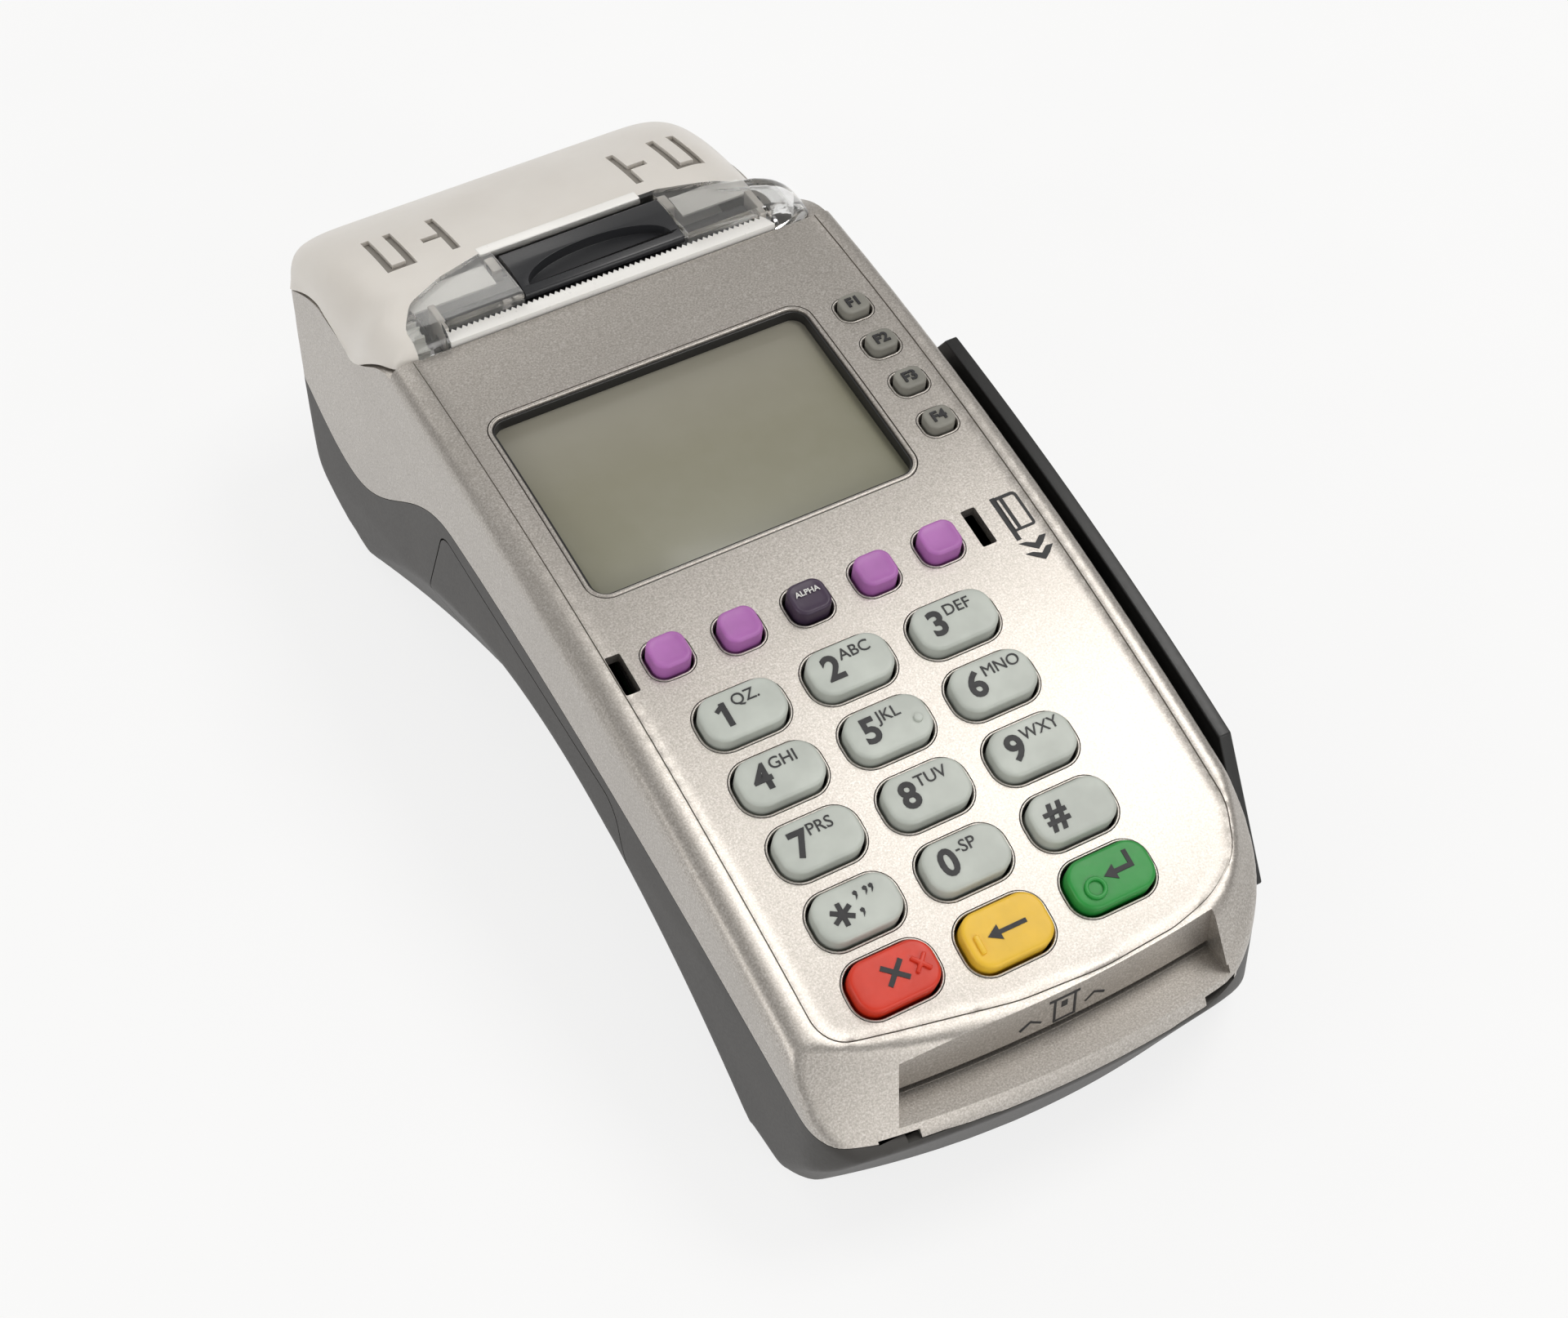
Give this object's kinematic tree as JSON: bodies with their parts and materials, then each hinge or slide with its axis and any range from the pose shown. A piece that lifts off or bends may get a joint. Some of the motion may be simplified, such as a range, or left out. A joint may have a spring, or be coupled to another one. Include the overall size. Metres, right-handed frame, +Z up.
{
  "type": "payment terminal",
  "caption": "Countertop payment terminal with a keypad, a small display, a receipt printer under a hinged cover, a card swipe slot and a chip card slot.",
  "frame": {"origin": "on the table, under the middle of the overall box", "axes": "+X to the user's right, +Y to the rear with the printer, +Z up"},
  "size_m": [0.0913, 0.2035, 0.063],
  "materials": {
    "silver_plastic": "warm silver paint with fine metal flake on plastic",
    "dark_plastic": "dark warm grey, fine grain",
    "black_plastic": "black, satin",
    "latch_black": "black, satin to gloss",
    "window_plastic": "clear window",
    "lcd_grey": "green grey reflective display",
    "circuit_board": "green solder mask",
    "silicone": "grey silicone",
    "frosted_plastic": "frosted translucent off-white",
    "clear_plastic": "clear moulding",
    "steel": "plain sheet and bar",
    "black_rubber": "black rubber",
    "gear_plastic": "white acetal",
    "brass": "turned brass or gold plate",
    "head_ceramic": "dark glazed plate",
    "paper": "white thermal paper",
    "key_grey": "light grey green, satin",
    "key_red": "red, satin",
    "key_yellow": "yellow, satin",
    "key_green": "green, satin",
    "soft_key_purple": "translucent light purple",
    "soft_key_dark": "dark purple",
    "function_key_grey": "dark grey green"
  },
  "bodies": {
    "base": {"upper_housing": "silver_plastic", "lower_housing": "dark_plastic", "swipe_rail": "black_plastic", "display_bezel": "black_plastic", "display_window": "window_plastic", "lcd_module": "lcd_grey", "display_board": "circuit_board", "function_mat": "silicone", "keypad_mat": "silicone", "main_board": "circuit_board", "hinge_pin": "steel", "stepper_motor": "steel", "printer_frame": "steel", "print_head": "head_ceramic", "head_spring": "steel", "paper_bucket": "black_plastic", "swipe_spring": "steel", "chip_reader": "black_plastic", "chip_contacts": "brass", "network_jack": "steel", "data_jack": "black_plastic", "line_jack": "black_plastic", "power_jack": "black_plastic", "rubber_feet": "black_rubber", "housing_screws": "steel"},
    "cover": {"paper_cover": "frosted_plastic", "tear_bar": "clear_plastic"},
    "latch": {"cover_latch": "latch_black"},
    "platen": {"platen_shaft": "steel", "platen_roller": "black_rubber", "platen_gear": "gear_plastic"},
    "idler": {"idler_gear": "gear_plastic"},
    "pinion": {"motor_pinion": "brass"},
    "roll": {"paper_roll": "paper"},
    "door": {"base_door": "dark_plastic"},
    "head": {"swipe_head": "steel"},
    "key_1": {"key_1": "key_grey"},
    "key_2": {"key_2": "key_grey"},
    "key_3": {"key_3": "key_grey"},
    "key_4": {"key_4": "key_grey"},
    "key_5": {"key_5": "key_grey"},
    "key_6": {"key_6": "key_grey"},
    "key_7": {"key_7": "key_grey"},
    "key_8": {"key_8": "key_grey"},
    "key_9": {"key_9": "key_grey"},
    "key_star": {"key_star": "key_grey"},
    "key_0": {"key_0": "key_grey"},
    "key_hash": {"key_hash": "key_grey"},
    "key_cancel": {"key_cancel": "key_red"},
    "key_clear": {"key_clear": "key_yellow"},
    "key_enter": {"key_enter": "key_green"},
    "soft_key_1": {"soft_key_1": "soft_key_purple"},
    "soft_key_2": {"soft_key_2": "soft_key_purple"},
    "soft_key_3": {"soft_key_3": "soft_key_dark"},
    "soft_key_4": {"soft_key_4": "soft_key_purple"},
    "soft_key_5": {"soft_key_5": "soft_key_purple"},
    "function_key_1": {"function_key_1": "function_key_grey"},
    "function_key_2": {"function_key_2": "function_key_grey"},
    "function_key_3": {"function_key_3": "function_key_grey"},
    "function_key_4": {"function_key_4": "function_key_grey"}
  },
  "joints": [
    {"name": "cover_hinge", "type": "hinge", "parent": "base", "child": "cover", "pos_m": [0, 0.1003, 0.04], "axis": [-1, 0, 0], "range_deg": [0, 90]},
    {"name": "latch_hinge", "type": "hinge", "parent": "cover", "child": "latch", "pos_m": [0, 0.063, 0.0598], "axis": [-1, 0, 0], "range_deg": [0, 20], "stiffness_Nm_per_rad": 0.02, "springref_deg": -11.46},
    {"name": "platen_spin", "type": "hinge", "parent": "cover", "child": "platen", "pos_m": [0, 0.0555, 0.0556], "axis": [1, 0, 0], "continuous": true},
    {"name": "idler_spin", "type": "hinge", "parent": "base", "child": "idler", "pos_m": [0, 0.05122, 0.04332], "axis": [1, 0, 0], "continuous": true},
    {"name": "pinion_spin", "type": "hinge", "parent": "base", "child": "pinion", "pos_m": [0, 0.04077, 0.03991], "axis": [1, 0, 0], "continuous": true},
    {"name": "roll_spin", "type": "hinge", "parent": "base", "child": "roll", "pos_m": [0, 0.072, 0.032], "axis": [1, 0, 0], "continuous": true},
    {"name": "door_slide", "type": "slide", "parent": "base", "child": "door", "axis": [0, 0, -1], "range_m": [0, 0.045]},
    {"name": "head_slide", "type": "slide", "parent": "base", "child": "head", "axis": [-1, 0, 0], "range_m": [0, 0.0005], "stiffness_N_per_m": 800, "springref_m": -0.0005},
    {"name": "key_1_press", "type": "slide", "parent": "base", "child": "key_1", "axis": [0, 0.2254, -0.9743], "range_m": [0, 0.0012], "stiffness_N_per_m": 300, "springref_m": -0.0015},
    {"name": "key_2_press", "type": "slide", "parent": "base", "child": "key_2", "axis": [0, 0.2254, -0.9743], "range_m": [0, 0.0012], "stiffness_N_per_m": 300, "springref_m": -0.0015},
    {"name": "key_3_press", "type": "slide", "parent": "base", "child": "key_3", "axis": [0, 0.2254, -0.9743], "range_m": [0, 0.0012], "stiffness_N_per_m": 300, "springref_m": -0.0015},
    {"name": "key_4_press", "type": "slide", "parent": "base", "child": "key_4", "axis": [0, 0.2511, -0.968], "range_m": [0, 0.0012], "stiffness_N_per_m": 300, "springref_m": -0.0015},
    {"name": "key_5_press", "type": "slide", "parent": "base", "child": "key_5", "axis": [0, 0.2511, -0.968], "range_m": [0, 0.0012], "stiffness_N_per_m": 300, "springref_m": -0.0015},
    {"name": "key_6_press", "type": "slide", "parent": "base", "child": "key_6", "axis": [0, 0.2511, -0.968], "range_m": [0, 0.0012], "stiffness_N_per_m": 300, "springref_m": -0.0015},
    {"name": "key_7_press", "type": "slide", "parent": "base", "child": "key_7", "axis": [0, 0.2766, -0.961], "range_m": [0, 0.0012], "stiffness_N_per_m": 300, "springref_m": -0.0015},
    {"name": "key_8_press", "type": "slide", "parent": "base", "child": "key_8", "axis": [0, 0.2766, -0.961], "range_m": [0, 0.0012], "stiffness_N_per_m": 300, "springref_m": -0.0015},
    {"name": "key_9_press", "type": "slide", "parent": "base", "child": "key_9", "axis": [0, 0.2766, -0.961], "range_m": [0, 0.0012], "stiffness_N_per_m": 300, "springref_m": -0.0015},
    {"name": "key_star_press", "type": "slide", "parent": "base", "child": "key_star", "axis": [0, 0.3019, -0.9533], "range_m": [0, 0.0012], "stiffness_N_per_m": 300, "springref_m": -0.0015},
    {"name": "key_0_press", "type": "slide", "parent": "base", "child": "key_0", "axis": [0, 0.3019, -0.9533], "range_m": [0, 0.0012], "stiffness_N_per_m": 300, "springref_m": -0.0015},
    {"name": "key_hash_press", "type": "slide", "parent": "base", "child": "key_hash", "axis": [0, 0.3019, -0.9533], "range_m": [0, 0.0012], "stiffness_N_per_m": 300, "springref_m": -0.0015},
    {"name": "key_cancel_press", "type": "slide", "parent": "base", "child": "key_cancel", "axis": [0, 0.3262, -0.9453], "range_m": [0, 0.0012], "stiffness_N_per_m": 300, "springref_m": -0.0015},
    {"name": "key_clear_press", "type": "slide", "parent": "base", "child": "key_clear", "axis": [0, 0.3281, -0.9446], "range_m": [0, 0.0012], "stiffness_N_per_m": 300, "springref_m": -0.0015},
    {"name": "key_enter_press", "type": "slide", "parent": "base", "child": "key_enter", "axis": [0, 0.3262, -0.9453], "range_m": [0, 0.0012], "stiffness_N_per_m": 300, "springref_m": -0.0015},
    {"name": "soft_key_1_press", "type": "slide", "parent": "base", "child": "soft_key_1", "axis": [0, 0.1952, -0.9808], "range_m": [0, 0.0012], "stiffness_N_per_m": 300, "springref_m": -0.0015},
    {"name": "soft_key_2_press", "type": "slide", "parent": "base", "child": "soft_key_2", "axis": [0, 0.1965, -0.9805], "range_m": [0, 0.0012], "stiffness_N_per_m": 300, "springref_m": -0.0015},
    {"name": "soft_key_3_press", "type": "slide", "parent": "base", "child": "soft_key_3", "axis": [0, 0.197, -0.9804], "range_m": [0, 0.0012], "stiffness_N_per_m": 300, "springref_m": -0.0015},
    {"name": "soft_key_4_press", "type": "slide", "parent": "base", "child": "soft_key_4", "axis": [0, 0.1965, -0.9805], "range_m": [0, 0.0012], "stiffness_N_per_m": 300, "springref_m": -0.0015},
    {"name": "soft_key_5_press", "type": "slide", "parent": "base", "child": "soft_key_5", "axis": [0, 0.1952, -0.9808], "range_m": [0, 0.0012], "stiffness_N_per_m": 300, "springref_m": -0.0015},
    {"name": "function_key_1_press", "type": "slide", "parent": "base", "child": "function_key_1", "axis": [0, 0.0871, -0.9962], "range_m": [0, 0.0012], "stiffness_N_per_m": 300, "springref_m": -0.0015},
    {"name": "function_key_2_press", "type": "slide", "parent": "base", "child": "function_key_2", "axis": [0, 0.1076, -0.9942], "range_m": [0, 0.0012], "stiffness_N_per_m": 300, "springref_m": -0.0015},
    {"name": "function_key_3_press", "type": "slide", "parent": "base", "child": "function_key_3", "axis": [0, 0.1281, -0.9918], "range_m": [0, 0.0012], "stiffness_N_per_m": 300, "springref_m": -0.0015},
    {"name": "function_key_4_press", "type": "slide", "parent": "base", "child": "function_key_4", "axis": [0, 0.1486, -0.9889], "range_m": [0, 0.0012], "stiffness_N_per_m": 300, "springref_m": -0.0015}
  ],
  "couplings": [
    {"joint": "idler_spin", "follows": "platen_spin", "ratio": -0.625},
    {"joint": "pinion_spin", "follows": "platen_spin", "ratio": 1.6667}
  ]
}
